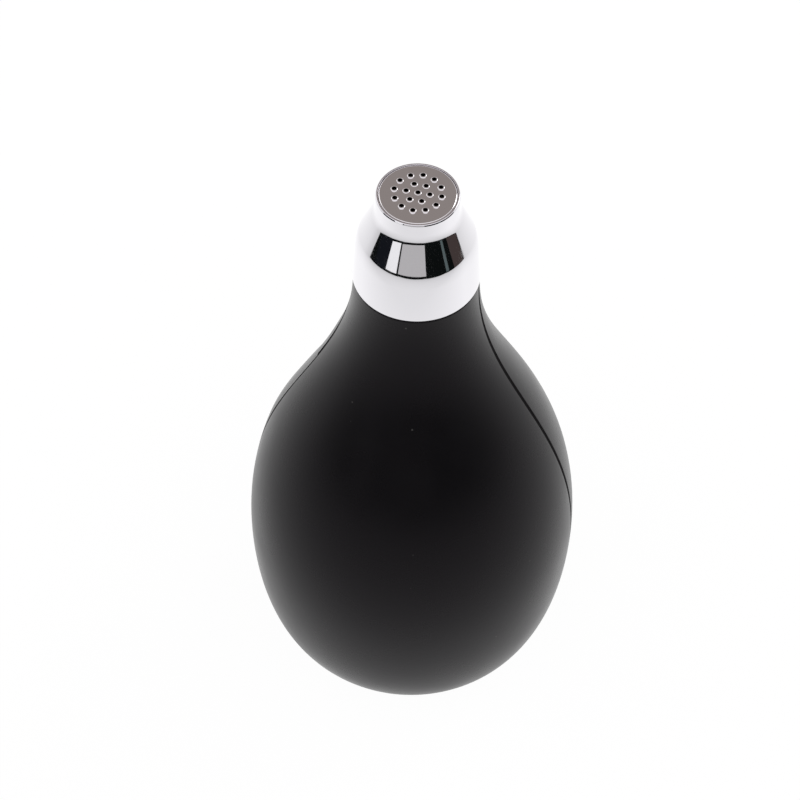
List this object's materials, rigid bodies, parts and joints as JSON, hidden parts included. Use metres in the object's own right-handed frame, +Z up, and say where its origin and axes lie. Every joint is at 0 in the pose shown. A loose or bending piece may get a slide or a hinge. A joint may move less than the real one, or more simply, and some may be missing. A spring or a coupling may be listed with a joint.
{
  "type": "dust blower bulb",
  "caption": "Squeezable black rubber blower bulb with a chromed screw-on head, a perforated rose that blows the air out, and an inlet valve in its base.",
  "frame": {"origin": "centre of the flat base ring, on the bulb's axis", "axes": "+Z up along the bulb's axis towards the rose; the mould seam lies in the XZ plane, so the two pressed walls face -Y and +Y"},
  "size_m": [0.066, 0.066, 0.1279],
  "materials": {
    "black_rubber": "matte moulded rubber",
    "chrome": "polished chrome plating",
    "rose_chrome": "polished chrome plating",
    "nickel_brass": "turned",
    "red_fibre": "dull",
    "white_nylon": "moulded"
  },
  "bodies": {
    "bulb": {"bulb_body": "black_rubber", "neck_bush": "nickel_brass", "valve_seat": "nickel_brass", "valve_cage": "white_nylon"},
    "front_wall": {"bulb_front_wall": "black_rubber"},
    "rear_wall": {"bulb_rear_wall": "black_rubber"},
    "gasket": {"head_gasket": "red_fibre"},
    "head": {"head_shell": "chrome", "rose_plate": "rose_chrome"},
    "valve": {"valve_disc": "black_rubber"}
  },
  "joints": [
    {"name": "squeeze_front", "type": "slide", "parent": "bulb", "child": "front_wall", "axis": [0, 1, 0], "range_m": [0, 0.01], "stiffness_N_per_m": 1000, "deforming": ["bulb_front_wall"]},
    {"name": "squeeze_rear", "type": "slide", "parent": "bulb", "child": "rear_wall", "axis": [0, -1, 0], "range_m": [0, 0.01], "stiffness_N_per_m": 1000, "deforming": ["bulb_rear_wall"]},
    {"name": "head_lift", "type": "slide", "parent": "bulb", "child": "gasket", "axis": [0, 0, 1], "range_m": [0, 0.0045]},
    {"name": "head_unscrew", "type": "hinge", "parent": "gasket", "child": "head", "pos_m": [0, 0, 0.107], "axis": [0, 0, 1], "range_deg": [0, 540]},
    {"name": "valve_lift", "type": "slide", "parent": "bulb", "child": "valve", "axis": [0, 0, 1], "range_m": [0, 0.0012]}
  ],
  "couplings": [
    {"joint": "squeeze_rear", "follows": "squeeze_front", "ratio": 1},
    {"joint": "head_unscrew", "follows": "head_lift", "rad_per_m": 2094.4}
  ]
}
